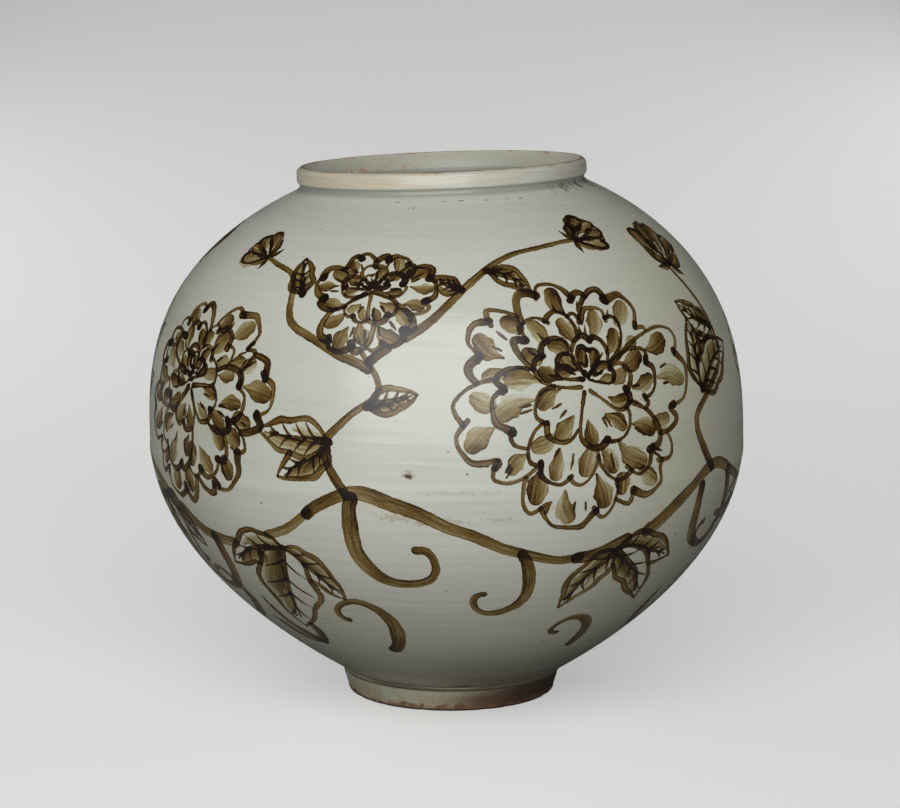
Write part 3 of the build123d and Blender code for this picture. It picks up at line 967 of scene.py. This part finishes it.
def makeUpperBowl(material):
    # level at which the inside of the wall meets the bore
    above = arcLevel > form["bellyHeight"]
    insideRadius = (arcRadius - form["wall"] * arcOut)[above]
    boreLevel = np.interp(-form["boreRadius"], -insideRadius, arcLevel[above])
    level = np.linspace(boreLevel, form["seamHeight"], bodyMesh["innerRows"])[:, None]
    inner = underSkin(np.interp(level, arcLevel, arcLength), form["wall"] + 0.3 * np.sin(2 * pi * level / 9))
    ledgeRadii = np.array([[form["shoulderRadius"] - 1.2], [80.0], [form["boreRadius"]]])
    ledge = placeOnSection(bodyTurn, ledgeRadii, form["shoulderHeight"], -0.1)
    points = np.concatenate([outerPoints(upperV), ledge, inner])
    return makePiece("upperBowl", "upper_bowl", material, points,
                     latheFaces(len(points), len(bodyTurn)))


def makeLowerBowl(material):
    # The glaze runs over the slip bed and stops just short of the foot
    base = form["baseHeight"]
    skirt = np.array(bodyMesh["skirt"])
    under = placeOnSection(bodyTurn, skirt[:, :1], base, -skirt[:, 1:])
    points = np.concatenate([under, outerPoints(lowerV), innerHollow()])
    rows, count = len(points), len(bodyTurn)
    poles = placeOnSection(0, 0, base, np.array([0.05, form["floorThickness"]]))
    faces = np.concatenate([
        latheFaces(rows, count, False),
        poleFaces(0, count, rows * count, False),
        poleFaces(rows - 1, count, rows * count + 1, True)])
    points = np.concatenate([points.reshape(-1, 3), poles])
    return makePiece("lowerBowl", "lower_bowl", material, points, faces)


def innerHollow():
    # Inside of the lower bowl: the wall's height over the floor, w, becomes (w + sqrt(w * w + c * c)) / 2,
    # which rounds the corner to a curve
    below = arcLevel < form["seamHeight"]
    wallRadius = (arcRadius - form["wall"] * arcOut)[below]
    wallHeight = (arcLevel - form["wall"] * arcUp)[below]
    seamInside = np.interp(form["seamHeight"], arcLevel, arcRadius) - form["wall"]
    radii = seamInside * (1 - np.linspace(0, 1, bodyMesh["innerRows"] + 1)[:-1] ** 1.4)
    radii = radii[radii > 4]
    steep = (wallHeight[0] - wallHeight[60]) / (wallRadius[0] - wallRadius[60])
    height = np.where(radii < wallRadius[0], wallHeight[0] + (radii - wallRadius[0]) * steep,
                      np.interp(radii, wallRadius, wallHeight))
    over = height - form["baseHeight"] - form["floorThickness"]
    height = np.minimum(height + (np.hypot(over, form["floorCorner"]) - over) / 2, form["seamHeight"])
    return placeOnSection(bodyTurn, radii[:, None], height[:, None])


# Rings: the mouth collar, the foot and the luting slip

def roundedProfile(corners):
    # Outline of a ring as radius and height. Each corner holds radius, height, rounding and steps:
    # the rounding is a quadratic curve between points that far from the corner on both sides.
    corner = np.array(corners)[:, :2]
    outline = []
    for k, (_, _, rounding, steps) in enumerate(corners):
        here, before, after = corner[k], corner[k - 1], corner[(k + 1) % len(corners)]
        start, end = (here + (x - here) / np.linalg.norm(x - here) * rounding for x in (before, after))
        t = np.linspace(0, 1, steps)[:, None]
        outline.append((1 - t) ** 2 * start + 2 * t * (1 - t) * here + t ** 2 * end)
    return np.concatenate(outline)


def makeRing(name, nodeName, material, corners, columns, level, lift=0.0, centre=0.0, relief=None):
    # Closed ring of revolution on the section plane at a level, raised by lift, from a profile that
    # climbs its outside. relief(turn, radius, height) moves the surface as radius and height.
    turn = turns(columns)
    profile = roundedProfile(corners)
    radius, height = profile[:, :1], profile[:, 1:]
    moveOut, moveUp = relief(turn, radius, height) if relief else (0, 0)
    points = placeOnSection(turn, radius + moveOut, level, lift + height + moveUp)
    points[..., 0] += centre
    return makePiece(name, nodeName, material, points, latheFaces(len(profile), columns))


collar = dict(
    columns=480, slip=1.5, waist=83.0, bandFoot=2.7, bandTop=10.3, lipTop=12.0, lipOuter=82.3, lipInner=81.3,
    hollow=77.2, hollowHeight=6.0, swell=0.35, poolRise=1.5, wear=0.35,
)


def collarRelief(turn, radius, height):
    # Slow unevenness of the surface, only inwards and down
    move = collar["wear"] * (0.5 + 0.5 * wave(turn + height / 60, (2, 3, 7, 11), 9))
    return -move, -0.3 * move


def makeMouthCollar(material):
    # The glaze fills the corner between collar and shoulder with a small curve
    c = collar
    corners = (
        (form["boreRadius"] + 0.05, 0.0, 0.5, 4),
        (form["shoulderRadius"] + 2.6, -c["slip"] - 1.9, 0, 1),
        (form["shoulderRadius"] - 0.4, -c["slip"] + 0.2, 1.4, 6),
        (c["waist"], -c["slip"] + c["poolRise"], 0.9, 5),
        (c["waist"], c["bandFoot"] - 0.6, 0.6, 4),
        (form["lipRadius"] - 0.05, c["bandFoot"] + 0.3, 0.9, 6),
        (form["lipRadius"] + c["swell"], (c["bandFoot"] + c["bandTop"]) / 2, 3.0, 8),
        (form["lipRadius"] - 0.1, c["bandTop"], 1.2, 7),
        (c["lipOuter"], c["lipTop"] - 0.05, 1.0, 6),
        (c["lipInner"], c["lipTop"] - 0.1, 0.8, 6),
        (c["hollow"], c["hollowHeight"], 4.5, 12),
    )
    makeRing("mouthCollar", "mouth_collar", material, corners, c["columns"],
             form["shoulderHeight"], lift=c["slip"], relief=collarRelief)


foot = dict(columns=480, top=12.9, topRadius=64.6, floorRadius=61.6, bore=51.0, wear=0.4, edge=1.6)


def footRelief(turn, radius, height):
    # Worn outer edge with small chips, deepest at the floor, and a wavering line of the trimming knife
    nearFloor = np.clip(1 - height / 4, 0, 1)
    outside = np.clip((radius - 54) / 4, 0, 1)
    chips = np.clip(wave(turn, (5, 9, 14, 23, 31), 21) - 0.25, 0, 1) * 1.6
    move = foot["wear"] * (0.5 + 0.5 * wave(turn, (2, 3, 5), 12)) + chips * nearFloor
    knife = 0.25 * (1 + wave(turn, (3, 8, 13), 5)) * np.clip(height / 12 - 0.4, 0, 1)
    return -move * outside, -knife * outside


def makeFootRing(material):
    f = foot
    corners = (
        (f["bore"] + 2.6, 0.0, 0.8, 5),
        (f["floorRadius"] - 0.3, 0.0, f["edge"], 8),
        (f["floorRadius"] + 0.1, 3.0, 1.0, 5),
        (f["floorRadius"] + 1.7, 8.0, 1.5, 4),
        (f["topRadius"] - 0.05, f["top"] - 0.1, 0.9, 6),
        (f["bore"], f["top"] - 0.1, 0, 1),
        (f["bore"], 3.0, 0.8, 4),
    )
    makeRing("footRing", "foot_ring", material, corners, f["columns"], 0.0, centre=footCentre,
             relief=footRelief)


slipColumns = 320
# each: name, node, level of its section, shift to its centre and corners
slipRings = (
    ("footSlipRing", "foot_slip_ring", 0.0, footCentre,
     ((51.2, 9.2, 0.3, 3), (51.2, 13.0, 0, 1), (63.6, 13.0, 0.4, 4), (63.6, 14.4, 0.4, 4),
      (47.2, 14.4, 0.5, 4))),
    ("bellySlipRing", "belly_slip_ring", form["seamHeight"], 0.0,
     ((166.9, -3.2, 0.8, 4), (169.4, 0.0, 0.5, 3), (166.9, 3.2, 0.8, 4), (164.7, 0.0, 1.6, 6))),
    ("collarSlipRing", "collar_slip_ring", form["shoulderHeight"], 0.0,
     ((76.1, 0.1, 0.3, 3), (82.4, 0.1, 0.2, 3), (82.4, 1.4, 0.2, 3), (76.1, 1.4, 0.3, 3),
      (74.9, 0.75, 0.4, 5))),
)

paintJar()
outerRows = bodyMesh["outerRows"]
allV = np.concatenate([lowerV, upperV])
layers = paintFields(allV, np.interp(allV, arcLength, arcRadius), bodyMesh["columns"])
print("painted", len(strokes), "strokes in", len(layers), "layers")

painted = makePaintedGlaze(len(layers))
storePaint(makeUpperBowl(painted), 0, slice(outerRows, None))
storePaint(makeLowerBowl(painted), len(bodyMesh["skirt"]) * bodyMesh["columns"], slice(0, outerRows))
print("bowls made")
makeMouthCollar(makeLipGlaze())
makeFootRing(makeFootClay())
slip = makeSlipClay()
for name, nodeName, level, centre, corners in slipRings:
    makeRing(name, nodeName, slip, corners, slipColumns, level, centre=centre)
print("rings made")


# Floor and light

stageLook = dict(floor="#c8c8c6", unseen="#6c6c6a", seenGlow=0.37, size=9000, sweepRadius=3400, back=900)


def makeStage():
    # Pale paper sweep: flat floor, a quarter turn and a wall. The camera sees it pale, with the jar's
    # shadow; the jar itself gets little light back from it.
    turn = np.linspace(0, pi / 2, 24)
    size, radius, back = stageLook["size"], stageLook["sweepRadius"], stageLook["back"]
    y = np.concatenate([[-size], back + radius * np.sin(turn), [back + radius]])
    z = np.concatenate([[0], radius * (1 - np.cos(turn)), [size]])
    points = np.stack([np.tile([-size, size], len(y)), np.repeat(y, 2), np.repeat(z, 2)], -1)
    k = np.arange(len(y) - 1) * 2
    material = bpy.data.materials.new("palePaper")
    tree = emptyTree(material)
    seen = addNode(tree, "LightPath").outputs["Is Camera Ray"]
    shader = addNode(tree, "BsdfPrincipled", {
        "Base Color": stained(tree, linearColour(stageLook["unseen"]), (stageLook["floor"], seen)),
        "Emission Strength": mask(tree, seen, stageLook["seenGlow"]), "Emission Color": (1, 1, 1, 1),
        "Roughness": 0.9, "Specular IOR Level": 0.2})
    addNode(tree, "OutputMaterial", {0: shader})
    floor = makeMesh("paperSweep", points, np.stack([k, k + 1, k + 3, k + 2], -1), material)


lampLook = dict(
    ambient=0.04, seen="#b6b6b4",
    key=dict(place=(-0.2, -1.9, 1.04), size=2.3, power=52.0),
    leftBack=dict(place=(-1.5, 1.5, 0.6), size=1.4, power=18.0, inGloss=False),
    rightBack=dict(place=(1.4, 1.8, 0.6), size=1.4, power=14.0, inGloss=False),
)


def makeWorld():
    # Dim even room light, which the camera sees as the same pale grey as the paper
    world = bpy.data.worlds.new("studioRoom")
    tree = emptyTree(world)
    seen = addNode(tree, "LightPath").outputs["Is Camera Ray"]
    room = addNode(tree, "Background", {"Color": (1, 1, 1, 1), "Strength": lampLook["ambient"]})
    paper = addNode(tree, "Background", {"Color": linearColour(lampLook["seen"]), "Strength": 1.0})
    addNode(tree, "OutputWorld", {0: addNode(tree, "MixShader", {0: seen, 1: room, 2: paper})})
    bpy.context.scene.world = world


def addLamp(name, place, size, power, inGloss=True):
    # Square soft box that looks at the jar's belly. The lamps behind the jar make no glare on the glaze.
    bpy.ops.object.light_add(type="AREA", location=place)
    lamp = bpy.context.object
    lamp.name = name
    lamp.data.size = size
    lamp.data.energy = power
    lamp.visible_camera = False
    lamp.visible_glossy = inGloss
    aim = lamp.location.copy()
    aim.z -= form["bellyHeight"] * mm
    lamp.rotation_euler = aim.to_track_quat("Z", "Y").to_euler()


makeStage()
makeWorld()
for name in ("key", "leftBack", "rightBack"):
    addLamp(name + "Lamp", **lampLook[name])
bpy.context.scene.view_settings.view_transform = "Standard"
print("stage lit")
